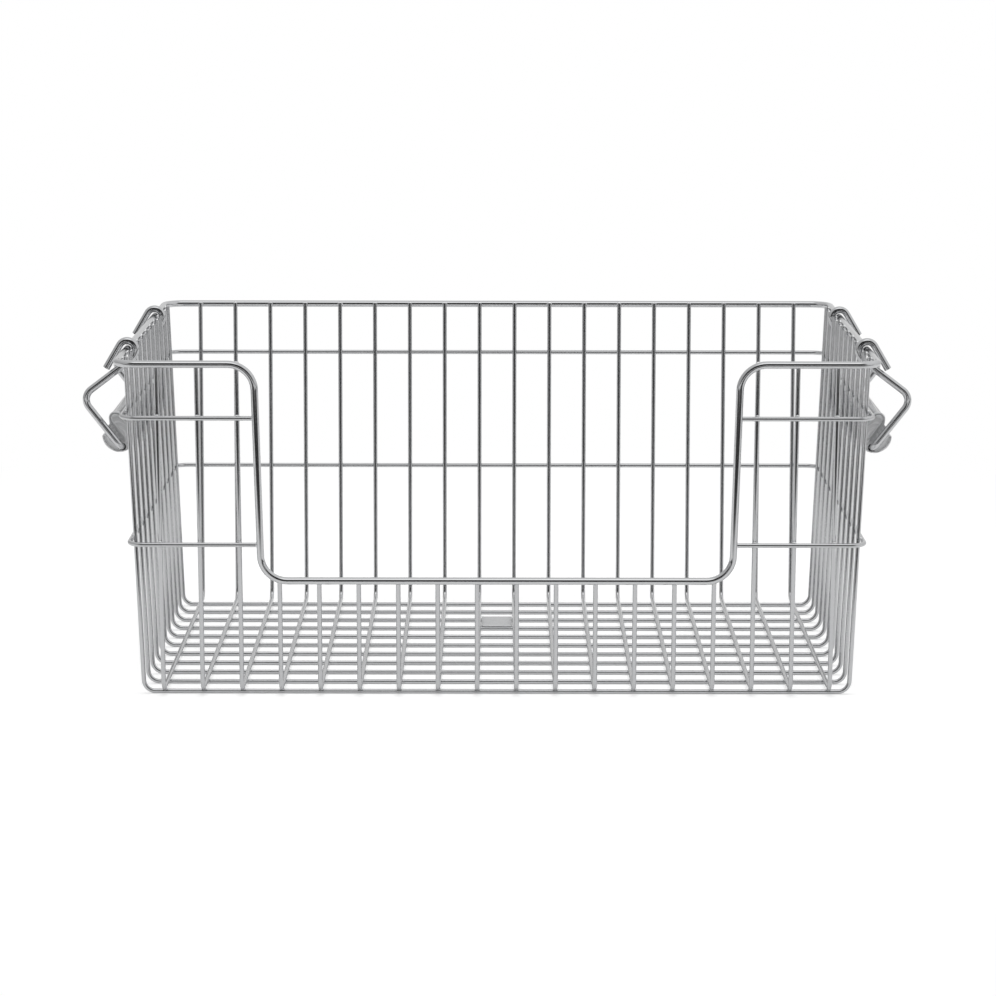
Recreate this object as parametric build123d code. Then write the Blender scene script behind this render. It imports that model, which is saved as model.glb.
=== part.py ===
from build123d import *
from math import acos, atan2, cos, degrees, radians, sin, sqrt, tan
import os

# A stainless-steel wire basket with a dropped front and a swinging handle at each end.
# Millimetres. X runs left to right, Y front to back and Z up.
# The origin is the middle of the footprint, on the surface the basket stands on.

# Wire and rod thicknesses
wire_dia = 3.2
rim_dia = 5.0
bail_dia = 5.0

# Welded wires meet with this hairline between their surfaces
weld_line = 0.02

# Floor grid
depth_wire_count = 18
depth_wire_pitch = 27.0
cross_wire_count = 11
cross_wire_pitch = 28.3
side_overhang = 14.3
end_overhang = 8.5

# Walls lean outwards from the floor
side_lean_angle = 2.15
end_lean_angle = 3.81
wire_bend = 8.0

# Heights of the rod centres above the standing surface, and of the belts from the rods
rim_height = 233.7
upper_belt_drop = 37.2
low_front_height = 83.3
lower_belt_rise = 25.1
wire_top_rise = 1.2

# Rim and belt corners
rim_corner_bend = 14.0
belt_corner_bend = 11.0

# Dropped front: the drop rods stand outside the outermost low front wires
full_front_wire_count = 3
drop_gap_low = 12.1
drop_gap_high = 15.1
drop_bend = 18.0

# Label plate
plate_thickness = 1.0
plate_side_clearance = 0.4
plate_overlap = 1.4
plate_cell = 7

# Handles: each hook stands beside a side wire, and its curl clears the rim all round
hook_cell_count = 2
hook_side_clearance = 2.0
hook_clearance = 0.33
curl_slack = 0.57
throat_opening = 3.4
tail_length = 19.0
tail_angle = 59.2
upper_arm_angle = 37.0
upper_arm_reach = 34.8
elbow_bend = 9.0
lower_arm_angle = 52.4
run_bend = 5.5

# Grip: rolled sheet with a slot where the arms come out
grip_dia = 24.0
grip_sheet = 1.0
arm_wall_gap = 4.7
grip_rest_clearance = 0.3
grip_end_clearance = 0.3
grip_run_clearance = 0.1
slot_upper_gap = 2.4
slot_lower_gap = 0.3
upper_fold_reach = 0.5
upper_fold_bend = 2.8
lower_fold_bend = 1.5
upper_lip_length = 16.0
lower_lip_length = 4.0

# What follows from them
wire_r = wire_dia / 2
rim_r = rim_dia / 2
bail_r = bail_dia / 2
grip_r = grip_dia / 2
grip_mid_r = grip_r - grip_sheet / 2
arm_aside = grip_r - grip_sheet - bail_r - arm_wall_gap
upper_fold_out = grip_mid_r + upper_fold_reach
cross_wire_height = wire_r
depth_wire_height = cross_wire_height + wire_dia + weld_line
side_floor_half = (depth_wire_count - 1) / 2 * depth_wire_pitch + side_overhang
end_floor_half = (cross_wire_count - 1) / 2 * cross_wire_pitch + end_overhang
rim_offset = wire_r + rim_r + weld_line
belt_offset = wire_dia + weld_line
upper_belt_height = rim_height - upper_belt_drop
lower_belt_height = low_front_height + lower_belt_rise
last_low_wire = ((depth_wire_count - 1) / 2 - full_front_wire_count) * depth_wire_pitch
hook_wire_place = ((cross_wire_count - 1) / 2 - hook_cell_count) * cross_wire_pitch
hook_plane = hook_wire_place + wire_r + hook_side_clearance + bail_r
curl_bend = rim_r + hook_clearance + bail_r + curl_slack
throat_bend = curl_bend + throat_opening


def side_wall(z):
    """Half the distance between the side wires' centres at height z."""
    return side_floor_half + z * tan(radians(side_lean_angle))


def end_wall(z):
    """Half the distance between the front and back wires' centres at height z."""
    return end_floor_half + z * tan(radians(end_lean_angle))


def outside_side(z, offset):
    """A rod's distance from the middle where it lies on the outside of the side wires."""
    return side_wall(z) + offset / cos(radians(side_lean_angle))


def outside_end(z, offset):
    """A rod's distance from the middle where it lies on the outside of the end wires."""
    return end_wall(z) + offset / cos(radians(end_lean_angle))


def drop_half_width(z):
    """Half the distance between the two drop rods at height z."""
    share = (z - low_front_height) / (rim_height - low_front_height)
    return last_low_wire + drop_gap_low + share * (drop_gap_high - drop_gap_low)


def rod_along(path, diameter):
    """A round rod whose centre follows the path."""
    section = Plane(origin=path @ 0, z_dir=path % 0) * Circle(diameter / 2)
    return sweep(section, path=path)


def bent_rod(points, bends, diameter, closed=False):
    """A round rod through the points, with a bend of its own radius at each corner."""
    path = FilletPolyline(*points, radius=bends, close=closed)
    return rod_along(path, diameter)


def write(node, solid):
    """One STEP file for one piece."""
    solid.label = node
    export_step(solid, f"parts/{node}.step")


# Floor and wall wires


def cross_wire(y):
    """A wire under the floor from left to right, and up both side walls."""
    top = rim_height + wire_top_rise
    points = [
        (-side_wall(top), y, top),
        (-side_wall(cross_wire_height), y, cross_wire_height),
        (side_wall(cross_wire_height), y, cross_wire_height),
        (side_wall(top), y, top),
    ]
    return bent_rod(points, wire_bend, wire_dia)


def depth_wire(x, front_top):
    """A wire on the cross wires from front to back, and up the front and back walls."""
    back_top = rim_height + wire_top_rise
    points = [
        (x, -end_wall(front_top), front_top),
        (x, -end_wall(depth_wire_height), depth_wire_height),
        (x, end_wall(depth_wire_height), depth_wire_height),
        (x, end_wall(back_top), back_top),
    ]
    return bent_rod(points, wire_bend, wire_dia)


# Rim and belts


def rim_rod():
    """The closed rim, which steps down in the leaning front wall to the low front edge."""
    side = outside_side(rim_height, rim_offset)
    back = outside_end(rim_height, rim_offset)
    low_front = outside_end(low_front_height, rim_offset)
    high_corner = drop_half_width(rim_height)
    low_corner = drop_half_width(low_front_height)
    points = [
        (-side, back, rim_height),
        (-side, -back, rim_height),
        (-high_corner, -back, rim_height),
        (-low_corner, -low_front, low_front_height),
        (low_corner, -low_front, low_front_height),
        (high_corner, -back, rim_height),
        (side, -back, rim_height),
        (side, back, rim_height),
    ]
    bends = [rim_corner_bend] * 2 + [drop_bend] * 4 + [rim_corner_bend] * 2
    return bent_rod(points, bends, rim_dia, closed=True)


def belt_wire(z):
    """A wire round the outside of the walls, whose ends butt on the two drop rods."""
    side = outside_side(z, belt_offset)
    end = outside_end(z, belt_offset)
    butt = drop_half_width(z) + rim_r + weld_line
    points = [
        (-butt, -end, z),
        (-side, -end, z),
        (-side, end, z),
        (side, end, z),
        (side, -end, z),
        (butt, -end, z),
    ]
    return bent_rod(points, belt_corner_bend, wire_dia)


def label_plate():
    """A bare plate on two cross wires, between the two middle depth wires."""
    first = (plate_cell - (cross_wire_count - 1) / 2) * cross_wire_pitch
    width = depth_wire_pitch - wire_dia - 2 * plate_side_clearance
    length = cross_wire_pitch + 2 * plate_overlap
    middle = first + cross_wire_pitch / 2
    bottom = cross_wire_height + wire_r + weld_line
    plate = Box(width, length, plate_thickness, align=(Align.CENTER, Align.CENTER, Align.MIN))
    return Pos(0, middle, bottom) * plate


# Handles, drawn on the right-hand side in upright planes
# In those planes u runs outwards and w upwards from the rim's centre


rim_side = outside_side(rim_height, rim_offset)


class HookPlane:
    """Draws tangent lines and arcs one after another in an upright plane."""

    def __init__(self, y, u, w, heading):
        self.y = y
        self.place = (u, w)
        self.heading = heading
        self.edges = []

    def point(self, u, w):
        return Vector(rim_side + u, self.y, rim_height + w)

    def line(self, length):
        u, w = self.place
        end = (u + length * cos(radians(self.heading)), w + length * sin(radians(self.heading)))
        self.edges.append(Line(self.point(u, w), self.point(*end)))
        self.place = end

    def arc(self, radius, turn):
        """Turns by that many degrees, to the left where turn is positive."""
        u, w = self.place
        hand = 1 if turn > 0 else -1
        to_centre = radians(self.heading + 90 * hand)
        centre = (u + radius * cos(to_centre), w + radius * sin(to_centre))

        def on_arc(share):
            angle = to_centre + radians(180 + turn * share)
            return (centre[0] + radius * cos(angle), centre[1] + radius * sin(angle))

        middle, end = on_arc(0.5), on_arc(1)
        self.edges.append(ThreePointArc(self.point(u, w), self.point(*middle), self.point(*end)))
        self.place = end
        self.heading += turn


def half_bail(y):
    """One hook and arm, from the tail's cut end to the start of the lower arm."""
    tail_heading = 180 - tail_angle
    tangent = radians(tail_heading - 90)
    back = radians(tail_heading + 180)
    # The curl's centre lies below and outside the rim's, so the hook bears on the rim's top
    centre = (curl_slack / sqrt(2), -curl_slack / sqrt(2))
    start = (
        centre[0] + curl_bend * cos(tangent) + tail_length * cos(back),
        centre[1] + curl_bend * sin(tangent) + tail_length * sin(back),
    )
    walk = HookPlane(y, *start, tail_heading)
    walk.line(tail_length)
    walk.arc(curl_bend, 270 - tail_heading)
    walk.arc(throat_bend, 90 - upper_arm_angle)
    walk.line(upper_arm_reach)
    walk.arc(elbow_bend, upper_arm_angle + lower_arm_angle - 180)
    return walk


# The grip's centre lies beside the lower arm, at the height where the tube clears the wall
elbow = half_bail(0)
elbow_u, elbow_w = elbow.place
arm_u, arm_w = cos(radians(elbow.heading)), sin(radians(elbow.heading))
aside_u, aside_w = arm_aside * arm_w, -arm_aside * arm_u
grip_offset = wire_r + grip_rest_clearance + grip_r
wall_beside_elbow = outside_side(rim_height + elbow_w + aside_w, grip_offset) - rim_side
grip_along = (wall_beside_elbow - elbow_u - aside_u) / (arm_u - arm_w * tan(radians(side_lean_angle)))
grip_centre_u = elbow_u + grip_along * arm_u + aside_u
grip_centre_w = elbow_w + grip_along * arm_w + aside_w

# The run lies in the bottom of the tube
run_distance = grip_r - grip_sheet - grip_run_clearance - bail_r
run_along = grip_along + sqrt(run_distance**2 - arm_aside**2)
lower_arm_length = run_along - run_bend


def arm_and_bend(y, inwards):
    """One hook and both arms, and the quarter bend into the run, with the bend's end."""
    walk = half_bail(y)
    walk.line(lower_arm_length)
    start = walk.point(*walk.place)
    along = Vector(arm_u, 0, arm_w) * run_bend
    across = Vector(0, inwards, 0) * run_bend
    middle = start + along * sin(radians(45)) + across * (1 - cos(radians(45)))
    end = start + along + across
    return walk.edges + [ThreePointArc(start, middle, end)], end


def bail_wire():
    """Two hooked arms and the straight run between them."""
    front_edges, front_end = arm_and_bend(-hook_plane, 1)
    back_edges, back_end = arm_and_bend(hook_plane, -1)
    run = Line(front_end, back_end)
    return rod_along(Wire(front_edges + [run] + back_edges), bail_dia)


def grip_section():
    """The rolled sheet's outline about the grip's centre, with the lower arm running along X."""
    half = grip_sheet / 2
    # Both lips lie beside the arm, which passes below the grip's centre
    upper_lip = bail_r + slot_upper_gap + half - arm_aside
    lower_lip = -(bail_r + slot_lower_gap + half + arm_aside)
    # The upper fold stands out from the round, joined to it by a short straight
    upper_fold = Vector(upper_fold_out, upper_lip + upper_fold_bend)
    upper_swing = degrees(acos((grip_mid_r - upper_fold_bend) / upper_fold.length))
    upper_angle = degrees(atan2(upper_fold.Y, upper_fold.X)) + upper_swing
    outwards = Vector(cos(radians(upper_angle)), sin(radians(upper_angle)))
    # The lower fold is tangent to the round from inside
    lower_fold_y = lower_lip - lower_fold_bend
    lower_fold = Vector(sqrt((grip_mid_r - lower_fold_bend) ** 2 - lower_fold_y**2), lower_fold_y)
    lower_angle = degrees(atan2(lower_fold.Y, lower_fold.X))
    wrap = 360 + lower_angle - upper_angle
    upper_end = upper_fold.X - upper_lip_length
    lower_end = lower_fold.X - lower_lip_length
    with BuildSketch(Plane.XY) as sketch:
        with BuildLine():
            for side in (half, -half):
                CenterArc((0, 0), grip_mid_r + side, upper_angle, wrap)
                Line(
                    outwards * (grip_mid_r + side),
                    upper_fold + outwards * (upper_fold_bend + side),
                )
                CenterArc(upper_fold, upper_fold_bend + side, -90, 90 + upper_angle)
                CenterArc(lower_fold, lower_fold_bend + side, lower_angle, 90 - lower_angle)
                Line((upper_fold.X, upper_lip - side), (upper_end, upper_lip - side))
                Line((lower_fold.X, lower_lip + side), (lower_end, lower_lip + side))
            Line((upper_end, upper_lip - half), (upper_end, upper_lip + half))
            Line((lower_end, lower_lip - half), (lower_end, lower_lip + half))
        make_face()
    return sketch.sketch


def grip():
    """The rolled tube between the two arms."""
    half_length = hook_plane - bail_r - grip_end_clearance
    centre = (rim_side + grip_centre_u, half_length, rim_height + grip_centre_w)
    place = Plane(origin=centre, x_dir=(-arm_u, 0, -arm_w), z_dir=(0, -1, 0))
    return extrude(place * grip_section(), amount=2 * half_length)


# Every piece in its own file

os.makedirs("parts", exist_ok=True)

write("rim_rod", rim_rod())
write("upper_belt_wire", belt_wire(upper_belt_height))
write("lower_belt_wire", belt_wire(lower_belt_height))

for index in range(cross_wire_count):
    y = (index - (cross_wire_count - 1) / 2) * cross_wire_pitch
    write(f"cross_wire_{index + 1:02d}", cross_wire(y))

for index in range(depth_wire_count):
    x = (index - (depth_wire_count - 1) / 2) * depth_wire_pitch
    outermost = min(index, depth_wire_count - 1 - index) < full_front_wire_count
    front_top = (rim_height if outermost else low_front_height) + wire_top_rise
    write(f"depth_wire_{index + 1:02d}", depth_wire(x, front_top))

write("label_plate", label_plate())

right_bail = bail_wire()
right_grip = grip()
write("right_bail_wire", right_bail)
write("right_grip", right_grip)
write("left_bail_wire", mirror(right_bail, about=Plane.YZ))
write("left_grip", mirror(right_grip, about=Plane.YZ))
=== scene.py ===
from math import acos, atan2, cos, degrees, pi, radians, sin, sqrt, tan

import bmesh
import bpy
from mathutils import Matrix, Vector


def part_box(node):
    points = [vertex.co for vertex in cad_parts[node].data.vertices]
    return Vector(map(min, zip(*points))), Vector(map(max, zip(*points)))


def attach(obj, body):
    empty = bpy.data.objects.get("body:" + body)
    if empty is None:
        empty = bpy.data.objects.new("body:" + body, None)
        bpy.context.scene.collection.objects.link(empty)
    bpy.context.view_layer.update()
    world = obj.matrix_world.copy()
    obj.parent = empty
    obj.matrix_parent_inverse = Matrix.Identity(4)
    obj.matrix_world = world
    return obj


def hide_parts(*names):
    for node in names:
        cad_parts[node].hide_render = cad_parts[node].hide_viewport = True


# A bright stainless wire basket with a dropped front and a rolled-sheet handle at each end.
# Metres and degrees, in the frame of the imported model.

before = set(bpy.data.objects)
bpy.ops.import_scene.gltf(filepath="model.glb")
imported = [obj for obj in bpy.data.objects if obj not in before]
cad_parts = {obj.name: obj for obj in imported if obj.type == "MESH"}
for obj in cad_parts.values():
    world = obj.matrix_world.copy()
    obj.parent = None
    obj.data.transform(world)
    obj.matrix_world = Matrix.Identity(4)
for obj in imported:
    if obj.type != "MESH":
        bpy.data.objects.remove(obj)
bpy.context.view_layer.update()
mm = 0.001

# Wire and rod thicknesses
wire_dia = 3.2 * mm
rim_dia = 5.0 * mm
bail_dia = 5.0 * mm
weld_line = 0.02 * mm

# Floor grid
depth_wire_count = 18
depth_wire_pitch = 27.0 * mm
cross_wire_count = 11
cross_wire_pitch = 28.3 * mm
side_overhang = 14.3 * mm
end_overhang = 8.5 * mm

# Leaning walls
side_lean_angle = 2.15
end_lean_angle = 3.81
wire_bend = 8.0 * mm

# Heights of the rod and belt centres
rim_height = 233.7 * mm
upper_belt_drop = 37.2 * mm
low_front_height = 83.3 * mm
lower_belt_rise = 25.1 * mm
wire_top_rise = 1.2 * mm

# Corners and the dropped front
rim_corner_bend = 14.0 * mm
belt_corner_bend = 11.0 * mm
full_front_wire_count = 3
drop_gap_low = 12.1 * mm
drop_gap_high = 15.1 * mm
drop_bend = 18.0 * mm

# Sides of a wire's or a rod's round section, and steps in each bend
wire_sides = 20
wire_bend_steps = 7
rod_sides = 32
rim_bend_steps = 12
bail_bend_steps = 10

# A sheared end is rounded: how far in from the tip, and how thick, as shares of the radius
end_depth_shares = (0.0, 0.06, 0.18, 0.42)
end_girth_shares = (0.74, 0.87, 0.96, 1.0)

# Weld flash: each lump's radius across the way it faces, and along it
floor_weld = (1.5 * mm, 0.75 * mm)
belt_weld = (1.5 * mm, 1.05 * mm)
rim_weld = (1.9 * mm, 1.2 * mm)
butt_weld = (1.9 * mm, 0.9 * mm)
belt_weld_rise = 0.95 * mm
weld_unevenness = 0.3 * mm
weld_noise_scale = 700.0
weld_seed = 4
least_weld_share = (0.82, 0.82, 0.85)
most_weld_share = (1.18, 1.18, 1.1)
lump_segments = 10
lump_rings = 6

# Label plate
plate_corner = 1.2 * mm
plate_edge = 0.15 * mm
plate_corner_steps = 6

# Handles
hook_cell_count = 2
hook_side_clearance = 2.0 * mm
hook_clearance = 0.33 * mm
curl_slack = 0.57 * mm
throat_opening = 3.4 * mm
tail_length = 19.0 * mm
tail_angle = 59.2
upper_arm_angle = 37.0
upper_arm_reach = 34.8 * mm
elbow_bend = 9.0 * mm
lower_arm_angle = 52.4
run_bend = 5.5 * mm

# The bail's arcs: degrees in each step, and the least number of steps
bail_arc_step = 7
least_arc_steps = 4

# Rolled grips. The crest of the upper fold is rounder than the solid's, with the same reach.
grip_dia = 24.0 * mm
grip_sheet = 1.0 * mm
arm_wall_gap = 4.7 * mm
grip_rest_clearance = 0.3 * mm
grip_end_clearance = 0.3 * mm
grip_run_clearance = 0.1 * mm
slot_upper_gap = 2.4 * mm
slot_lower_gap = 0.3 * mm
upper_fold_reach = 0.5 * mm
upper_fold_bend = 2.8 * mm
crest_bend = 4.2 * mm
lower_fold_bend = 1.5 * mm
upper_lip_length = 16.0 * mm
lower_lip_length = 4.0 * mm
grip_sharp_angle = 50

# Steps along the grip's section, from the upper lip round to the lower
upper_lip_steps = 8
crest_steps = 14
tube_steps = 72
lower_fold_steps = 12
lower_lip_steps = 3

# The grip's rounded ends, as radii of the rim
wall_rim = 1.8 * mm
lip_rim = 1.3 * mm
fold_rim = 0.8 * mm
rim_round_steps = 6

# The sheet swells into the rim: shares of the flare's depth, and of the rim's thickness there
rim_flare = 3.0 * mm
flare_shares = ((1.0, 0.0), (0.7, 0.18), (0.4, 0.62))

# Angles from the bail's run within which the rim is plain sheet, and past which it is full
near_run = 24
away_from_run = 42

# The web just inside each end, with the angles over which it reaches into the upper fold
web_radius = 10.9 * mm
web_slot_radius = 10.2 * mm
web_fold_radius = 14.4 * mm
web_fold_angles = (-2, 9, 38, 62)
web_slot_angle = -60
web_spread_power = 3
web_depth = 0.5 * mm
web_slope = 5
web_sheet = 0.8 * mm
web_run_gap = 0.5 * mm
web_rings = 12
web_steps = 96
web_centre_share = 0.02
merge_distance = 0.002 * mm

# What follows from them
wire_r = wire_dia / 2
rim_r = rim_dia / 2
bail_r = bail_dia / 2
grip_r = grip_dia / 2
grip_mid_r = grip_r - grip_sheet / 2
arm_aside = grip_r - grip_sheet - bail_r - arm_wall_gap
crest_out = grip_mid_r + upper_fold_reach + upper_fold_bend - crest_bend
cross_wire_height = wire_r
depth_wire_height = cross_wire_height + wire_dia + weld_line
side_floor_half = (depth_wire_count - 1) / 2 * depth_wire_pitch + side_overhang
end_floor_half = (cross_wire_count - 1) / 2 * cross_wire_pitch + end_overhang
rim_offset = wire_r + rim_r + weld_line
belt_offset = wire_dia + weld_line
upper_belt_height = rim_height - upper_belt_drop
lower_belt_height = low_front_height + lower_belt_rise
last_low_wire = ((depth_wire_count - 1) / 2 - full_front_wire_count) * depth_wire_pitch
hook_wire_place = ((cross_wire_count - 1) / 2 - hook_cell_count) * cross_wire_pitch
hook_plane = hook_wire_place + wire_r + hook_side_clearance + bail_r
grip_half_length = hook_plane - bail_r - grip_end_clearance
curl_bend = rim_r + hook_clearance + bail_r + curl_slack
throat_bend = curl_bend + throat_opening


def side_wall(z):
    return side_floor_half + z * tan(radians(side_lean_angle))


def end_wall(z):
    return end_floor_half + z * tan(radians(end_lean_angle))


def outside_side(z, offset):
    return side_wall(z) + offset / cos(radians(side_lean_angle))


def outside_end(z, offset):
    return end_wall(z) + offset / cos(radians(end_lean_angle))


def drop_half_width(z):
    share = (z - low_front_height) / (rim_height - low_front_height)
    return last_low_wire + drop_gap_low + share * (drop_gap_high - drop_gap_low)


def cross_wire_y(index):
    return (index - (cross_wire_count - 1) / 2) * cross_wire_pitch


def depth_wire_x(index):
    return (index - (depth_wire_count - 1) / 2) * depth_wire_pitch


def reaches_rim(index):
    return min(index, depth_wire_count - 1 - index) < full_front_wire_count


# Small helpers for node trees and meshes

# Where a Mix node has its two values and its result, for numbers and for colours
mix_places = {"FLOAT": (2, 3, 0), "RGBA": (6, 7, 2)}


class Tree:
    """Adds nodes to a tree and wires them with short calls."""

    def __init__(self, tree):
        self.tree = tree

    def add(self, kind, settings=None, **inputs):
        node = self.tree.nodes.new(kind)
        for name, value in (settings or {}).items():
            setattr(node, name, value)
        for name, value in inputs.items():
            self.set(node, name.replace("_", " "), value)
        return node

    def set(self, node, name, value):
        socket = node.inputs[name] if isinstance(name, int) else self.socket(node, name)
        if isinstance(value, bpy.types.NodeSocket):
            self.tree.links.new(value, socket)
        else:
            socket.default_value = value

    def socket(self, node, name):
        for socket in node.inputs:
            if socket.name.lower() == name.lower() and socket.enabled:
                return socket
        raise KeyError(f"{node.bl_idname} has no input {name}")

    def join(self, node, *values):
        """Gives a node its first inputs in their order."""
        for place, value in enumerate(values):
            self.set(node, place, value)
        return node

    def math(self, operation, *values):
        node = self.add("ShaderNodeMath", {"operation": operation})
        return self.join(node, *values).outputs[0]

    def vector_math(self, operation, *values, output="Vector"):
        node = self.add("ShaderNodeVectorMath", {"operation": operation})
        return self.join(node, *values).outputs[output]

    def smooth_step(self, value, low, high, to_low=0.0, to_high=1.0):
        node = self.add(
            "ShaderNodeMapRange",
            {"interpolation_type": "SMOOTHSTEP"},
            Value=value,
            From_Min=low,
            From_Max=high,
            To_Min=to_low,
            To_Max=to_high,
        )
        return node.outputs["Result"]

    def mix(self, kind, share, first, second):
        node = self.add("ShaderNodeMix", {"data_type": kind})
        first_place, second_place, result = mix_places[kind]
        self.set(node, 0, share)
        self.set(node, first_place, first)
        self.set(node, second_place, second)
        return node.outputs[result]

    def mix_shaders(self, share, first, second):
        return self.join(self.add("ShaderNodeMixShader"), share, first, second).outputs["Shader"]

    def white_light(self, strength):
        node = self.add("ShaderNodeEmission", Color=(1, 1, 1, 1), Strength=strength)
        return node.outputs["Emission"]

    def read(self, kind, name):
        node = self.add("GeometryNodeInputNamedAttribute", {"data_type": kind}, Name=name)
        return node.outputs["Attribute"]

    def store(self, kind, geometry, name, value):
        node = self.add(
            "GeometryNodeStoreNamedAttribute",
            {"data_type": kind, "domain": "POINT"},
            Geometry=geometry,
            Name=name,
            Value=value,
        )
        return node.outputs["Geometry"]

    def hand_out(self, name, geometry, finish):
        """Ends a geometry tree in smooth, real geometry with its finish."""
        for kind, more in (
            ("GeometryNodeSetShadeSmooth", {"Shade_Smooth": True}),
            ("GeometryNodeRealizeInstances", {}),
            ("GeometryNodeSetMaterial", {"Material": finish}),
        ):
            geometry = self.add(kind, Geometry=geometry, **more).outputs["Geometry"]
        self.add("NodeGroupOutput", **{name: geometry})


def ring_faces(ring_count, size):
    """Quads that join each closed ring of points to the next."""
    faces = []
    for ring in range(ring_count - 1):
        for place in range(size):
            a = ring * size + place
            b = ring * size + (place + 1) % size
            faces.append((a, b, b + size, a + size))
    return faces


def store_vectors(mesh, name, vectors):
    """Keeps a vector for each point of a mesh as a named attribute."""
    flat = [number for vector in vectors for number in vector]
    mesh.attributes.new(name, "FLOAT_VECTOR", "POINT").data.foreach_set("vector", flat)


def add_to_scene(name, data):
    thing = bpy.data.objects.new(name, data)
    bpy.context.scene.collection.objects.link(thing)
    return thing


# Finishes

# Depths and grain of the drawing or rolling lines and of the pits
line_depth = 0.05 * mm
line_detail = 3.0
line_roughness = 0.6
pit_depth = 0.02 * mm
pit_scale = 900.0
pit_detail = 2.0

# Between which levels of the lines the tone and the gloss change, and how far the gloss does
tone_levels = (0.35, 0.65)
gloss_levels = (0.3, 0.75)
gloss_spread = 0.15


def steel(
    name,
    tone,
    roughness,
    line_scale,
    line_strength,
    pit_strength,
    metallic=1.0,
    streak=0.96,
):
    """Stainless steel with faint lines, streak times as bright as the rest, and small pits."""
    material = bpy.data.materials.new(name)
    material.use_nodes = True
    material.node_tree.nodes.clear()
    tree = Tree(material.node_tree)
    lay = tree.add("ShaderNodeAttribute", {"attribute_name": "lay"}).outputs["Vector"]
    lines = tree.add(
        "ShaderNodeTexNoise",
        Vector=tree.add("ShaderNodeMapping", Vector=lay, Scale=line_scale).outputs["Vector"],
        Scale=1.0,
        Detail=line_detail,
        Roughness=line_roughness,
    ).outputs["Fac"]
    pits = tree.add(
        "ShaderNodeTexNoise",
        Vector=tree.add("ShaderNodeTexCoord").outputs["Object"],
        Scale=pit_scale,
        Detail=pit_detail,
    ).outputs["Fac"]
    tone_share = tree.smooth_step(lines, *tone_levels)
    line_tone = [share * streak for share in tone]
    colour = tree.mix("RGBA", tone_share, (*line_tone, 1), (*tone, 1))
    least_rough = roughness * (1 - gloss_spread)
    most_rough = roughness * (1 + gloss_spread)
    lined = tree.add(
        "ShaderNodeBump",
        Strength=line_strength,
        Distance=line_depth,
        Height=lines,
    )
    pitted = tree.add(
        "ShaderNodeBump",
        Strength=pit_strength,
        Distance=pit_depth,
        Height=pits,
        Normal=lined.outputs["Normal"],
    )
    surface = tree.add(
        "ShaderNodeBsdfPrincipled",
        Base_Color=colour,
        Metallic=metallic,
        Roughness=tree.smooth_step(lines, *gloss_levels, least_rough, most_rough),
        Normal=pitted.outputs["Normal"],
    )
    tree.add("ShaderNodeOutputMaterial", Surface=surface.outputs["BSDF"])
    return material


# How finely the lines are spaced across the metal and along it
rod_lines = (3500.0, 3500.0, 4.0)
sheet_lines = (1800.0, 1800.0, 30.0)
web_lines = (700.0, 700.0, 45.0)
no_lines = (900.0, 900.0, 900.0)

wire_tone = (0.56, 0.565, 0.575)
bright_tone = (0.58, 0.585, 0.595)
satin_tone = (0.70, 0.705, 0.715)
blasted_tone = (0.86, 0.865, 0.875)
weld_tone = (0.94, 0.945, 0.955)

# Tone, roughness, lines, and how strong the lines and the pits are
wire_steel = steel("drawn_wire_steel", wire_tone, 0.15, rod_lines, 0.03, 0.05)
rim_steel = steel("polished_rod_steel", bright_tone, 0.12, rod_lines, 0.07, 0.10)
bail_steel = steel("polished_bail_steel", bright_tone, 0.13, rod_lines, 0.07, 0.12)
grip_steel = steel("rolled_sheet_steel", bright_tone, 0.17, sheet_lines, 0.15, 0.12)
web_steel = steel("blasted_web_steel", blasted_tone, 0.5, web_lines, 1.0, 0.15, 0.2, 0.68)
satin_steel = steel("satin_rim_steel", satin_tone, 0.36, no_lines, 0.05, 0.05)
plate_steel = steel("flat_sheet_steel", bright_tone, 0.28, sheet_lines, 0.2, 0.3)
weld_steel = steel("weld_flash_steel", weld_tone, 0.45, no_lines, 0.25, 0.2)


# Geometry trees


def new_group(name, inputs, output):
    """A geometry node group, with the identifier of each of its named inputs."""
    group = bpy.data.node_groups.new(name, "GeometryNodeTree")
    sockets = {}
    for label, kind in inputs:
        kind = "NodeSocket" + kind
        socket = group.interface.new_socket(label, in_out="INPUT", socket_type=kind)
        sockets[label] = socket.identifier
    group.interface.new_socket(output, in_out="OUTPUT", socket_type="NodeSocketGeometry")
    return group, sockets


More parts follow.
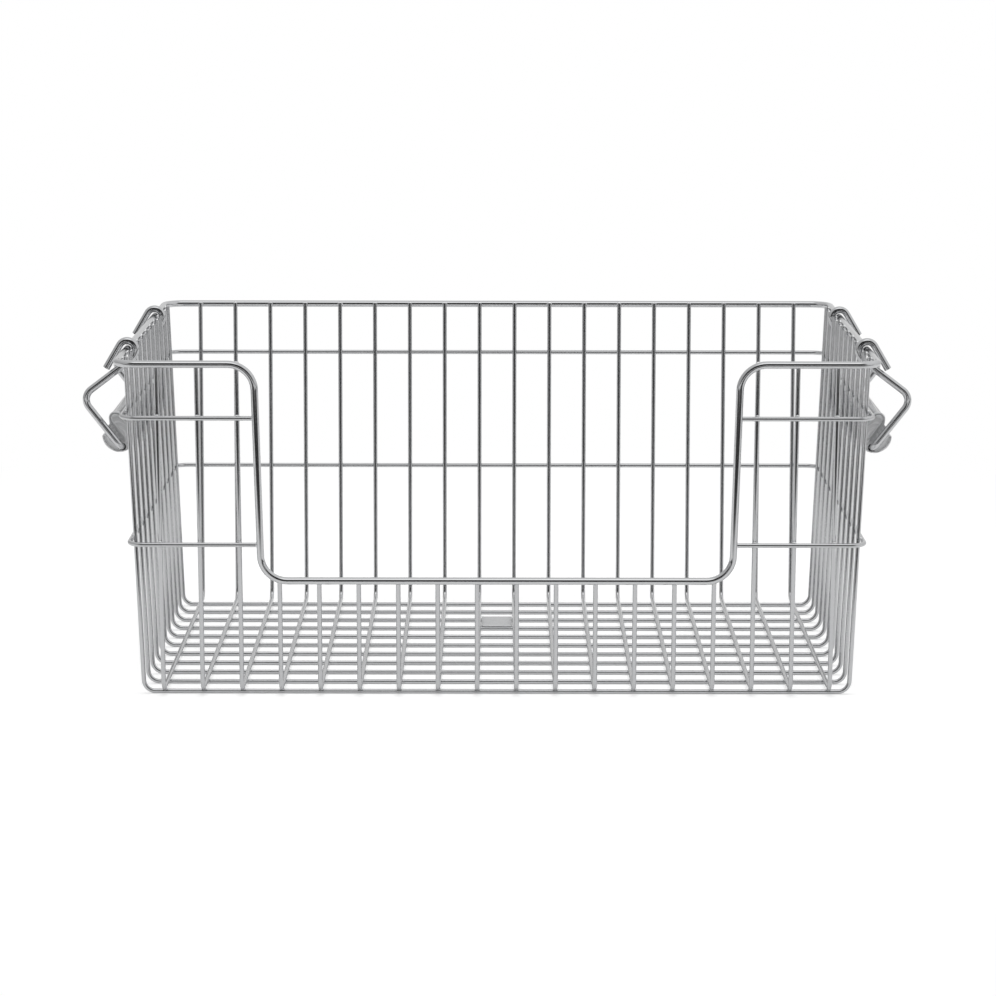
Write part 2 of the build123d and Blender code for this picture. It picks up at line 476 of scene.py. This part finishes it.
def rod_tree():
    """Rounds each corner of an open or closed line of points and gives it a round section."""
    inputs = (
        ("Line", "Geometry"),
        ("Rod radius", "Float"),
        ("Steps per bend", "Int"),
        ("Sides", "Int"),
        ("Finish", "Material"),
    )
    group, sockets = new_group("bent_rod", inputs, "Rod")
    tree = Tree(group)
    given = tree.add("NodeGroupInput").outputs
    line = tree.add("GeometryNodeMeshToCurve", Mesh=given["Line"])
    rounded = tree.add(
        "GeometryNodeFilletCurve",
        {"mode": "POLY"},
        Curve=line.outputs["Curve"],
        Count=given["Steps per bend"],
        Radius=tree.read("FLOAT", "bend"),
    )
    thick = tree.add(
        "GeometryNodeSetCurveRadius",
        Curve=rounded.outputs["Curve"],
        Radius=tree.read("FLOAT", "girth"),
    )
    along = tree.add("GeometryNodeSplineParameter").outputs["Length"]
    circle = tree.add(
        "GeometryNodeCurvePrimitiveCircle",
        Resolution=given["Sides"],
        Radius=given["Rod radius"],
    )
    place = tree.add("GeometryNodeInputPosition").outputs["Position"]
    swept = tree.add(
        "GeometryNodeCurveToMesh",
        Curve=tree.store("FLOAT", thick.outputs["Curve"], "along", along),
        Profile_Curve=tree.store("FLOAT_VECTOR", circle.outputs["Curve"], "ring", place),
        Fill_Caps=True,
    )
    ring = tree.add("ShaderNodeSeparateXYZ", Vector=tree.read("FLOAT_VECTOR", "ring"))
    lay = tree.add(
        "ShaderNodeCombineXYZ",
        X=ring.outputs["X"],
        Y=ring.outputs["Y"],
        Z=tree.read("FLOAT", "along"),
    )
    laid = tree.store("FLOAT_VECTOR", swept.outputs["Mesh"], "lay", lay.outputs["Vector"])
    tree.hand_out("Rod", laid, given["Finish"])
    return group, sockets


def weld_tree():
    """Sets a small uneven lump of weld flash on each point, flat across its facing."""
    inputs = (
        ("Points", "Geometry"),
        ("Unevenness", "Float"),
        ("Seed", "Int"),
        ("Finish", "Material"),
    )
    group, sockets = new_group("weld_flash", inputs, "Welds")
    tree = Tree(group)
    given = tree.add("NodeGroupInput").outputs
    turn = tree.add(
        "FunctionNodeAlignRotationToVector",
        {"axis": "Z"},
        Vector=tree.read("FLOAT_VECTOR", "facing"),
    )
    vary = tree.add(
        "FunctionNodeRandomValue",
        {"data_type": "FLOAT_VECTOR"},
        Min=least_weld_share,
        Max=most_weld_share,
        Seed=given["Seed"],
    )
    size = tree.read("FLOAT_VECTOR", "size")
    lump = tree.add(
        "GeometryNodeMeshUVSphere",
        Segments=lump_segments,
        Rings=lump_rings,
        Radius=1.0,
    )
    placed = tree.add(
        "GeometryNodeInstanceOnPoints",
        Points=given["Points"],
        Instance=lump.outputs["Mesh"],
        Rotation=turn.outputs["Rotation"],
        Scale=tree.vector_math("MULTIPLY", size, vary.outputs["Value"]),
    )
    real = tree.add("GeometryNodeRealizeInstances", Geometry=placed.outputs["Instances"])
    noise = tree.add("ShaderNodeTexNoise", Scale=weld_noise_scale, Detail=1.0)
    centred = tree.vector_math("SUBTRACT", noise.outputs["Color"], (0.5, 0.5, 0.5))
    push = tree.add(
        "ShaderNodeVectorMath",
        {"operation": "SCALE"},
        Vector=centred,
        Scale=given["Unevenness"],
    )
    uneven = tree.add(
        "GeometryNodeSetPosition",
        Geometry=real.outputs["Geometry"],
        Offset=push.outputs["Vector"],
    )
    tree.hand_out("Welds", uneven.outputs["Geometry"], given["Finish"])
    return group, sockets


rod_group, rod_sockets = rod_tree()
weld_group, weld_sockets = weld_tree()


def grow(name, mesh, group, inputs):
    """Runs a geometry tree on a mesh and keeps the result as a plain mesh object."""
    piece = add_to_scene(name, mesh)
    modifier = piece.modifiers.new("grow", "NODES")
    modifier.node_group = group
    for identifier, value in inputs.items():
        modifier[identifier] = value
    graph = bpy.context.evaluated_depsgraph_get()
    plain = bpy.data.meshes.new_from_object(piece.evaluated_get(graph))
    plain.name = name
    piece.modifiers.clear()
    piece.data = plain
    bpy.data.meshes.remove(mesh)
    return piece


def line_mesh(name, points, bends, girths, closed):
    """A line through the points that knows its bend and its girth at each."""
    mesh = bpy.data.meshes.new(name + "_line")
    count = len(points)
    edge_count = count if closed else count - 1
    edges = [(place, (place + 1) % count) for place in range(edge_count)]
    mesh.from_pydata([tuple(point) for point in points], edges, [])
    for key, values in (("bend", bends), ("girth", girths)):
        mesh.attributes.new(key, "FLOAT", "POINT").data.foreach_set("value", values)
    return mesh


def rounded_end(tip, inner, radius):
    """Points and girths from the tip inwards, on the straight that the wire ends in."""
    direction = (inner - tip).normalized()
    points = [tip + direction * radius * share for share in end_depth_shares]
    return points, list(end_girth_shares)


def rod(
    name,
    nodes,
    body,
    points,
    bends,
    dia,
    finish,
    closed=False,
    sides=wire_sides,
    steps=wire_bend_steps,
):
    """A rod through the points that stands for the named CAD nodes."""
    points = [Vector(point) for point in points]
    girths = [1.0] * len(points)
    bends = list(bends)
    if not closed:
        head, head_girths = rounded_end(points[0], points[1], dia / 2)
        tail, tail_girths = rounded_end(points[-1], points[-2], dia / 2)
        points = head + points[1:-1] + tail[::-1]
        girths = head_girths + [1.0] * len(bends) + tail_girths[::-1]
        bends = [0.0] * len(head) + bends + [0.0] * len(tail)
    mesh = line_mesh(name, points, bends, girths, closed)
    inputs = {
        rod_sockets["Rod radius"]: dia / 2,
        rod_sockets["Steps per bend"]: steps,
        rod_sockets["Sides"]: sides,
        rod_sockets["Finish"]: finish,
    }
    piece = grow(name, mesh, rod_group, inputs)
    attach(piece, body)
    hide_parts(*nodes)


def wire(node, corners, bend):
    """A thin wire of the basket, with the same bend at each inner corner."""
    bends = [bend] * (len(corners) - 2)
    rod("drawn_" + node, [node], "basket", corners, bends, wire_dia, wire_steel)


# Cross wires and depth wires

wire_top = rim_height + wire_top_rise
low_top = low_front_height + wire_top_rise
for index in range(cross_wire_count):
    y = cross_wire_y(index)
    corners = [
        (-side_wall(wire_top), y, wire_top),
        (-side_wall(cross_wire_height), y, cross_wire_height),
        (side_wall(cross_wire_height), y, cross_wire_height),
        (side_wall(wire_top), y, wire_top),
    ]
    wire(f"cross_wire_{index + 1:02d}", corners, wire_bend)

for index in range(depth_wire_count):
    x = depth_wire_x(index)
    front_top = wire_top if reaches_rim(index) else low_top
    corners = [
        (x, -end_wall(front_top), front_top),
        (x, -end_wall(depth_wire_height), depth_wire_height),
        (x, end_wall(depth_wire_height), depth_wire_height),
        (x, end_wall(wire_top), wire_top),
    ]
    wire(f"depth_wire_{index + 1:02d}", corners, wire_bend)


# Belts and rim


def belt_corners(z):
    """A belt's corners at its height, from one drop of the rim round the back to the other."""
    side = outside_side(z, belt_offset)
    end = outside_end(z, belt_offset)
    butt = drop_half_width(z) + rim_r + weld_line
    return [
        (-butt, -end, z),
        (-side, -end, z),
        (-side, end, z),
        (side, end, z),
        (side, -end, z),
        (butt, -end, z),
    ]


wire("upper_belt_wire", belt_corners(upper_belt_height), belt_corner_bend)
wire("lower_belt_wire", belt_corners(lower_belt_height), belt_corner_bend)

rim_side = outside_side(rim_height, rim_offset)
rim_end = outside_end(rim_height, rim_offset)
low_front = outside_end(low_front_height, rim_offset)
high_corner = drop_half_width(rim_height)
low_corner = drop_half_width(low_front_height)
rim_corners = [
    (-rim_side, rim_end, rim_height),
    (-rim_side, -rim_end, rim_height),
    (-high_corner, -rim_end, rim_height),
    (-low_corner, -low_front, low_front_height),
    (low_corner, -low_front, low_front_height),
    (high_corner, -rim_end, rim_height),
    (rim_side, -rim_end, rim_height),
    (rim_side, rim_end, rim_height),
]
rod(
    "polished_rim",
    ["rim_rod"],
    "basket",
    rim_corners,
    [rim_corner_bend] * 2 + [drop_bend] * 4 + [rim_corner_bend] * 2,
    rim_dia,
    rim_steel,
    closed=True,
    sides=rod_sides,
    steps=rim_bend_steps,
)


# Weld flash where wires cross and where the belts end

welds = []


def weld(place, facing, size):
    width, depth = size
    welds.append((place, facing, (width, width, depth)))


side_facing = Vector((cos(radians(side_lean_angle)), 0, -sin(radians(side_lean_angle))))
end_facing = Vector((0, cos(radians(end_lean_angle)), -sin(radians(end_lean_angle))))


def weld_end(column, hand, height, size):
    """The weld on a depth wire: hand is 1 on the back wall and -1 on the front."""
    place = Vector((depth_wire_x(column), hand * outside_end(height, wire_r), height))
    weld(place, Vector((0, hand * end_facing.y, end_facing.z)), size)


for row in range(cross_wire_count):
    for column in range(depth_wire_count):
        place = Vector((depth_wire_x(column), cross_wire_y(row), wire_dia + weld_line / 2))
        weld(place, Vector((0, 0, 1)), floor_weld)

for height, size in (
    (lower_belt_height + belt_weld_rise, belt_weld),
    (upper_belt_height + belt_weld_rise, belt_weld),
    (rim_height, rim_weld),
):
    for row in range(cross_wire_count):
        for hand in (-1, 1):
            place = Vector((hand * outside_side(height, wire_r), cross_wire_y(row), height))
            weld(place, Vector((hand * side_facing.x, 0, side_facing.z)), size)
    for column in range(depth_wire_count):
        walls = (-1, 1) if reaches_rim(column) else (1,)
        for hand in walls:
            weld_end(column, hand, height, size)

for column in range(depth_wire_count):
    if not reaches_rim(column):
        weld_end(column, -1, low_front_height, rim_weld)

for height in (lower_belt_height, upper_belt_height):
    for hand in (-1, 1):
        across = drop_half_width(height) + rim_r
        place = Vector((hand * across, -outside_end(height, belt_offset), height))
        weld(place, Vector((hand, 0, 0)), butt_weld)

places, facings, weld_sizes = zip(*welds)
weld_points = bpy.data.meshes.new("weld_points")
weld_points.from_pydata(places, [], [])
store_vectors(weld_points, "facing", facings)
store_vectors(weld_points, "size", weld_sizes)
weld_inputs = {
    weld_sockets["Unevenness"]: weld_unevenness,
    weld_sockets["Seed"]: weld_seed,
    weld_sockets["Finish"]: weld_steel,
}
weld_flash = grow("weld_flash", weld_points, weld_group, weld_inputs)
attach(weld_flash, "basket")


# Label plate


def bare_plate(low, high, name):
    """A flat plate with rounded corners and softly broken edges, its rolling lines along X."""
    outline = []
    for quarter, (sx, sy) in enumerate(((1, 1), (-1, 1), (-1, -1), (1, -1))):
        centre_x = (high.x - plate_corner) if sx > 0 else (low.x + plate_corner)
        centre_y = (high.y - plate_corner) if sy > 0 else (low.y + plate_corner)
        for step in range(plate_corner_steps + 1):
            angle = pi / 2 * (quarter + step / plate_corner_steps)
            x = centre_x + plate_corner * cos(angle)
            y = centre_y + plate_corner * sin(angle)
            outline.append((x, y))
    middle = Vector(((low.x + high.x) / 2, (low.y + high.y) / 2))
    levels = (
        (low.z, plate_edge),
        (low.z + plate_edge, 0),
        (high.z - plate_edge, 0),
        (high.z, plate_edge),
    )
    points = []
    for z, inset in levels:
        for spot in outline:
            out = Vector(spot) - middle
            out -= out.normalized() * inset
            points.append((middle.x + out.x, middle.y + out.y, z))
    count = len(outline)
    under = tuple(range(count))
    top = tuple(range(len(points) - count, len(points)))
    mesh = bpy.data.meshes.new(name)
    mesh.from_pydata(points, [], [under[::-1], top] + ring_faces(len(levels), count))
    store_vectors(mesh, "lay", [(y, z, x) for x, y, z in points])
    mesh.materials.append(plate_steel)
    return mesh


plate_low, plate_high = (Vector(corner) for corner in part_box("label_plate"))
plate = add_to_scene("bare_label_plate", bare_plate(plate_low, plate_high, "bare_label_plate"))
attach(plate, "basket")
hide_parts("label_plate")


# Handles: u runs outwards and w upwards from the rim's centre, in a plane of steady y


class HookPlane:
    """Walks along tangent lines and arcs and keeps the points passed."""

    def __init__(self, u, w, heading):
        self.heading = heading
        self.points = [(u, w)]

    def line(self, length):
        u, w = self.points[-1]
        angle = radians(self.heading)
        self.points.append((u + length * cos(angle), w + length * sin(angle)))

    def arc(self, radius, turn):
        u, w = self.points[-1]
        hand = 1 if turn > 0 else -1
        to_centre = radians(self.heading + 90 * hand)
        centre_u = u + radius * cos(to_centre)
        centre_w = w + radius * sin(to_centre)
        steps = max(least_arc_steps, round(abs(turn) / bail_arc_step))
        for step in range(1, steps + 1):
            angle = to_centre + radians(180 + turn * step / steps)
            self.points.append((centre_u + radius * cos(angle), centre_w + radius * sin(angle)))
        self.heading += turn


def half_bail():
    """The bail from the tip of a hook's tail to the end of its elbow."""
    tail_heading = 180 - tail_angle
    tangent = radians(tail_heading - 90)
    back = radians(tail_heading + 180)
    # The curl's centre lies outwards and downwards of the rim's, by its slack
    start_u = curl_slack / sqrt(2) + curl_bend * cos(tangent) + tail_length * cos(back)
    start_w = -curl_slack / sqrt(2) + curl_bend * sin(tangent) + tail_length * sin(back)
    walk = HookPlane(start_u, start_w, tail_heading)
    walk.line(tail_length)
    walk.arc(curl_bend, 270 - tail_heading)
    walk.arc(throat_bend, 90 - upper_arm_angle)
    walk.line(upper_arm_reach)
    walk.arc(elbow_bend, upper_arm_angle + lower_arm_angle - 180)
    return walk


# The grip lies against the wall's wires, aside of the arm, and the bail's run inside the grip
elbow = half_bail()
elbow_u, elbow_w = elbow.points[-1]
arm_u, arm_w = cos(radians(elbow.heading)), sin(radians(elbow.heading))
aside_u, aside_w = arm_aside * arm_w, -arm_aside * arm_u
grip_offset = wire_r + grip_rest_clearance + grip_r
wall_beside_elbow = outside_side(rim_height + elbow_w + aside_w, grip_offset) - rim_side
approach = arm_u - arm_w * tan(radians(side_lean_angle))
grip_along = (wall_beside_elbow - elbow_u - aside_u) / approach
grip_centre_u = elbow_u + grip_along * arm_u + aside_u
grip_centre_w = elbow_w + grip_along * arm_w + aside_w
run_distance = grip_r - grip_sheet - grip_run_clearance - bail_r
run_aside = sqrt(run_distance**2 - arm_aside**2)
run_along = grip_along + run_aside
run_angle = degrees(atan2(-arm_aside, -run_aside)) + 360


def bail_points(hand):
    """The bail's corners from the front tail to the back tail, with the bend of each."""
    walk = half_bail()
    walk.line(run_along)
    places = []
    for u, w in walk.points:
        places.append((hand * (rim_side + u), -hook_plane, rim_height + w))
    mirrored = [(x, -y, z) for x, y, z in reversed(places)]
    straight = [0.0] * (len(places) - 1)
    return places + mirrored, straight + [run_bend] * 2 + straight


def round_direction(angle):
    return Vector((cos(radians(angle)), sin(radians(angle))))


def between(start, end, share):
    return start + (end - start) * share


def run_clear_share(angle):
    """0 where the wall lies close round the run, 1 well away from it."""
    off = abs(angle - run_angle)
    share = min(1.0, max(0.0, (off - near_run) / (away_from_run - near_run)))
    return share * share * (3 - 2 * share)


def grip_line():
    """The sheet's middle line from the upper lip round to the lower.

    Each point has its outward direction, the end rim's radius there, and how far the rim
    is set inwards so that it ends flush with the sheet's outer side.
    """
    half = grip_sheet / 2
    upper_lip = bail_r + slot_upper_gap + half - arm_aside
    lower_lip = -(bail_r + slot_lower_gap + half + arm_aside)
    crest = Vector((crest_out, upper_lip + crest_bend))
    upper_swing = degrees(acos((grip_mid_r - crest_bend) / crest.length))
    upper_angle = degrees(atan2(crest.y, crest.x)) + upper_swing
    lower_fold_y = lower_lip - lower_fold_bend
    lower_fold_x = sqrt((grip_mid_r - lower_fold_bend) ** 2 - lower_fold_y**2)
    lower_fold = Vector((lower_fold_x, lower_fold_y))
    lower_angle = degrees(atan2(lower_fold_y, lower_fold_x)) + 360
    lip_end = lower_fold_x - lower_lip_length
    line = []

    def straight(start, end, y, out, rim, steps):
        for step in range(steps):
            spot = Vector((between(start, end, step / steps), y))
            line.append((spot, Vector((0, out)), rim, 0.0))

    def arc(centre, radius, start, end, steps, rims, flush):
        for step in range(steps + 1):
            share = step / steps
            out = round_direction(between(start, end, share))
            rim = between(*rims, share)
            line.append((centre + out * radius, out, rim, between(*flush, share) * (rim - half)))

    def tube(start, end, steps):
        for step in range(steps + 1):
            share = step / steps
            angle = between(start, end, share)
            out = round_direction(angle)
            rim = half + (between(wall_rim, fold_rim, share) - half) * run_clear_share(angle)
            line.append((out * grip_mid_r, out, rim, rim - half))

    straight(crest.x - upper_lip_length, crest.x, upper_lip, -1, lip_rim, upper_lip_steps)
    arc(crest, crest_bend, -90, upper_angle, crest_steps, (lip_rim, wall_rim), (0, 1))
    tube(upper_angle, lower_angle, tube_steps)
    fold_rims = (fold_rim, fold_rim)
    arc(lower_fold, lower_fold_bend, lower_angle, 450, lower_fold_steps, fold_rims, (1, 0))
    straight(lower_fold_x, lip_end, lower_lip, 1, fold_rim, lower_lip_steps)
    line.append((Vector((lip_end, lower_lip)), Vector((0, 1)), fold_rim, 0.0))
    return line


def grip_levels():
    """Depth behind the rim, share of the rim's thickness, and the turn round the rim, if on it."""
    levels = [(rim_flare * depth, thick, None) for depth, thick in flare_shares]
    for step in range(rim_round_steps + 1):
        levels.append((None, 1.0, radians(90 * step / rim_round_steps)))
    return levels


def grip_shell(line):
    """Rings of points round the sheet's section, from front to back, in the grip's own axes."""
    half = grip_sheet / 2
    rings = []
    for depth, thick, turn in grip_levels():
        outer, inner, tips = [], [], []
        for spot, out, rim, inset in line:
            grown = half + (rim - half) * thick
            shift = -inset * thick
            back = depth + rim if turn is None else rim * (1 - sin(turn))
            reach = grown if turn is None else rim * cos(turn)
            outer.append((spot + out * (shift + reach), back))
            inner.append((spot + out * (shift - reach), back))
            tips.append((reach, back))
        head = line[0][0] - Vector((tips[0][0], 0))
        tail = line[-1][0] - Vector((tips[-1][0], 0))
        rings.append(outer + [(tail, tips[-1][1])] + inner[::-1] + [(head, tips[0][1])])
    front = [[(spot, back - grip_half_length) for spot, back in ring] for ring in rings[::-1]]
    behind = [[(spot, grip_half_length - back) for spot, back in ring] for ring in rings]
    return front + behind


def web_reach(angle):
    """How far the web reaches: into the upper fold, and less where the slot is."""
    turn = (angle + 180) % 360 - 180
    first, full, past, last = web_fold_angles
    if turn < first:
        return web_slot_radius if turn > web_slot_angle else web_radius
    if turn < full:
        return between(web_slot_radius, web_fold_radius, (turn - first) / (full - first))
    if turn < past:
        return web_fold_radius
    return between(web_fold_radius, web_radius, min(1.0, (turn - past) / (last - past)))


def run_gap(r):
    """Half the angle over which a ring of the web stays open round the bail's run."""
    notch = bail_r + web_run_gap
    cosine = (r * r + run_distance**2 - notch**2) / (2 * r * run_distance)
    return degrees(acos(min(1.0, max(-1.0, cosine))))


def grip_web():
    """The shallow dished web just inside each end of the tube, open round the run."""
    points, faces = [], []
    across = web_steps + 1
    layer = (web_rings + 1) * across
    for end in (-1, 1):
        first = len(points)
        for thick in (0.0, web_sheet):
            for ring in range(web_rings + 1):
                r = web_radius * max(ring, web_centre_share) / web_rings
                gap = run_gap(r)
                depth = web_depth + (web_radius - r) * tan(radians(web_slope)) + thick
                spread = (r / web_radius) ** web_spread_power
                for step in range(across):
                    turn = run_angle + gap + (360 - 2 * gap) * step / web_steps
                    far = r * (1 + (web_reach(turn) / web_radius - 1) * spread)
                    spot = round_direction(turn) * far
                    points.append((spot, end * (grip_half_length - depth), r))
        for ring in range(web_rings):
            for step in range(web_steps):
                a = first + ring * across + step
                b = a + layer
                faces.append((a, a + 1, a + across + 1, a + across))
                faces.append((b, b + across, b + across + 1, b + 1))
            for step in (0, web_steps):
                a = first + ring * across + step
                b = a + layer
                faces.append((a, a + across, b + across, b))
        for step in range(web_steps):
            a = first + web_rings * across + step
            b = a + layer
            faces.append((a, a + 1, b + 1, b))
    return points, faces


# Places of the grip's finishes in its list
sheet_finish, web_finish, crest_finish = range(3)


def shell_finish(lay):
    """Plain sheet along the grip, a satin rim round its upper half and a matt one below."""
    above, along = lay[1:]
    if abs(along) <= grip_half_length - rim_flare:
        return sheet_finish
    return web_finish if above < 0 else crest_finish


def grip_mesh(hand, name):
    """The rolled sheet between the arms with its thick rounded ends, and the webs inside."""
    rings = grip_shell(grip_line())
    along = Vector((-arm_u, -arm_w))
    above = Vector((arm_w, -arm_u))

    def place(spot, y):
        u = grip_centre_u + spot.x * along.x + spot.y * above.x
        w = grip_centre_w + spot.x * along.y + spot.y * above.y
        return (hand * (rim_side + u), y, rim_height + w)

    points, lays = [], []
    for ring in rings:
        for spot, y in ring:
            points.append(place(spot, y))
            lays.append((spot.x, spot.y, y))
    faces = ring_faces(len(rings), len(rings[0]))
    finishes = [shell_finish(lays[face[0]]) for face in faces]
    first = len(points)
    web_points, web_faces = grip_web()
    for spot, y, r in web_points:
        points.append(place(spot, y))
        lays.append((r, 0, r * atan2(spot.y, spot.x)))
    for face in web_faces:
        faces.append(tuple(first + corner for corner in face))
        finishes.append(web_finish)
    mesh = bpy.data.meshes.new(name)
    mesh.from_pydata(points, [], faces)
    store_vectors(mesh, "lay", lays)
    mesh.polygons.foreach_set("material_index", finishes)
    work = bmesh.new()
    work.from_mesh(mesh)
    bmesh.ops.remove_doubles(work, verts=work.verts, dist=merge_distance)
    bmesh.ops.dissolve_degenerate(work, edges=work.edges, dist=merge_distance)
    bmesh.ops.recalc_face_normals(work, faces=work.faces)
    work.to_mesh(mesh)
    work.free()
    mesh.shade_smooth()
    mesh.set_sharp_from_angle(angle=radians(grip_sharp_angle))
    for finish in (grip_steel, web_steel, satin_steel):
        mesh.materials.append(finish)
    return mesh


for side, hand in (("left", -1), ("right", 1)):
    body = side + "_handle"
    node = side + "_bail_wire"
    points, bends = bail_points(hand)
    rod(
        "polished_" + node,
        [node],
        body,
        points,
        bends[1:-1],
        bail_dia,
        bail_steel,
        sides=rod_sides,
        steps=bail_bend_steps,
    )
    name = f"rolled_{side}_grip"
    grip = add_to_scene(name, grip_mesh(hand, name))
    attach(grip, body)
    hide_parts(side + "_grip")


# Camera at the photograph's place

camera_place = (-1.2 * mm, -2297.2 * mm, 531.6 * mm)
camera_pitch = 10.357
camera_yaw = 0.050
camera_roll = 0.0895
camera_data = bpy.data.cameras.new("camera")
camera_data.sensor_width = 36.0
camera_data.lens = 115.66
camera_data.clip_start = 0.05
camera_data.clip_end = 60.0
camera = add_to_scene("camera", camera_data)
camera.location = camera_place
camera.rotation_mode = "XYZ"
turned = (
    Matrix.Rotation(radians(-camera_yaw), 4, "Z")
    @ Matrix.Rotation(radians(90 - camera_pitch), 4, "X")
    @ Matrix.Rotation(radians(camera_roll), 4, "Z")
)
camera.rotation_euler = turned.to_euler("XYZ")
bpy.context.scene.camera = camera


# Floor. Bright metal sees a table with a front edge, and past it the floor of a dark room.
floor_reach = 12.0
paper_white = 0.8
paper_glow_in_metal = 0.24
paper_glow_to_camera = 0.42
table_edge = (-0.56, -0.42)
room_level = 0.04

# A white sheet on the room's floor, which the lower halves of the back wires see
sheet_near_edge = (-1.10, -0.95)
sheet_far_edge = (-2.5, -2.2)
sheet_level = 0.8

# Away from the basket and its shadow the paper is plain white to the camera
shadow_reach = (0.40, 0.90)


def studio_floor():
    mesh = bpy.data.meshes.new("studio_floor")
    signs = ((-1, -1), (1, -1), (1, 1), (-1, 1))
    corners = [(x * floor_reach, y * floor_reach, 0) for x, y in signs]
    mesh.from_pydata(corners, [], [(0, 1, 2, 3)])
    floor = add_to_scene("studio_floor", mesh)
    material = bpy.data.materials.new("white_paper")
    material.use_nodes = True
    material.node_tree.nodes.clear()
    tree = Tree(material.node_tree)
    path = tree.add("ShaderNodeLightPath").outputs
    in_metal = path["Is Glossy Ray"]
    to_camera = path["Is Camera Ray"]
    place = tree.add("ShaderNodeTexCoord").outputs["Object"]
    y = tree.add("ShaderNodeSeparateXYZ", Vector=place).outputs["Y"]
    camera_glow = tree.math("MULTIPLY", to_camera, paper_glow_to_camera)
    glow = tree.math("MULTIPLY_ADD", in_metal, paper_glow_in_metal, camera_glow)
    paper_colour = (paper_white, paper_white, paper_white, 1)
    paper = tree.add("ShaderNodeBsdfDiffuse", Color=paper_colour).outputs["BSDF"]
    lit = tree.join(tree.add("ShaderNodeAddShader"), paper, tree.white_light(glow))
    near_edge = tree.smooth_step(y, *sheet_near_edge, 1.0, 0.0)
    far_edge = tree.smooth_step(y, *sheet_far_edge)
    on_sheet = tree.math("MULTIPLY", near_edge, far_edge)
    room = tree.white_light(tree.math("MULTIPLY_ADD", on_sheet, sheet_level, room_level))
    past_edge = tree.smooth_step(y, *table_edge, 1.0, 0.0)
    seen_past_edge = tree.math("MULTIPLY", in_metal, past_edge)
    table = tree.mix_shaders(seen_past_edge, lit.outputs["Shader"], room)
    away = tree.smooth_step(tree.vector_math("LENGTH", place, output="Value"), *shadow_reach)
    plain = tree.math("MULTIPLY", away, to_camera)
    surface = tree.mix_shaders(plain, table, tree.white_light(1.0))
    tree.add("ShaderNodeOutputMaterial", Surface=surface)
    mesh.materials.append(material)


studio_floor()


# Lamps: name, place, width and height, and power. All aim at the basket's middle.
basket_middle = Vector((0, 0, 0.12))
lamps = (
    ("top_softbox", (0, 0.1, 2.4), (2.4, 2.0), 34),
    ("left_softbox", (-2.4, -0.9, 1.0), (1.4, 1.6), 12),
    ("right_softbox", (2.4, -0.9, 1.0), (1.4, 1.6), 12),
)
for name, place, (width, height), power in lamps:
    lamp_data = bpy.data.lights.new(name, "AREA")
    lamp_data.shape = "RECTANGLE"
    lamp_data.size = width
    lamp_data.size_y = height
    lamp_data.energy = power
    lamp = add_to_scene(name, lamp_data)
    lamp.visible_glossy = False
    lamp.location = place
    lamp.rotation_euler = (basket_middle - Vector(place)).to_track_quat("-Z", "Y").to_euler()


# Light tent round the table, a little brighter to the right and above
tent_level = 0.66
right_rise = 0.16
roof_rise = 0.16
roof_heights = (0.1, 0.8)

# The even light that the tent gives to all but mirror reflections. The camera sees it white.
plain_level = 0.30

# Patches of the tent: the way to each one's middle, and the angles from it at which the
# patch has faded out and is full. The dark end is where the photograph is taken from, with
# a softbox over it.
dark_way = (0.0, -0.990, 0.139)
dark_spread = (53, 32)
dark_share = 0.96
box_way = (0.0, -0.500, 0.866)
box_spread = (26, 12)
box_level = 0.7
back_way = (0.0, 0.978, 0.208)
back_spread = (38, 14)
back_level = 0.10

world = bpy.data.worlds.new("light_tent")
world.use_nodes = True
world.node_tree.nodes.clear()
tent = Tree(world.node_tree)
direction = tent.add("ShaderNodeTexCoord").outputs["Generated"]


def patch(way, spread):
    nearness = tent.vector_math("DOT_PRODUCT", direction, way, output="Value")
    none, full = spread
    return tent.smooth_step(nearness, cos(radians(none)), cos(radians(full)))


slope = tent.add("ShaderNodeSeparateXYZ", Vector=direction).outputs
side_level = tent.math("MULTIPLY_ADD", slope["X"], right_rise, tent_level)
roof_level = tent.smooth_step(slope["Z"], *roof_heights, 0.0, roof_rise)
level = tent.math("ADD", side_level, roof_level)
light_share = tent.math("MULTIPLY_ADD", patch(dark_way, dark_spread), -dark_share, 1.0)
level = tent.math("MULTIPLY", level, light_share)
level = tent.math("MULTIPLY_ADD", patch(box_way, box_spread), box_level, level)
level = tent.math("MULTIPLY_ADD", patch(back_way, back_spread), back_level, level)
path = tent.add("ShaderNodeLightPath").outputs
level = tent.mix("FLOAT", path["Is Glossy Ray"], plain_level, level)
level = tent.mix("FLOAT", path["Is Camera Ray"], level, 1.0)
background = tent.add("ShaderNodeBackground", Color=(1, 1, 1, 1), Strength=level)
tent.add("ShaderNodeOutputWorld", Surface=background.outputs["Background"])
bpy.context.scene.world = world

bpy.context.scene.view_settings.view_transform = "Standard"
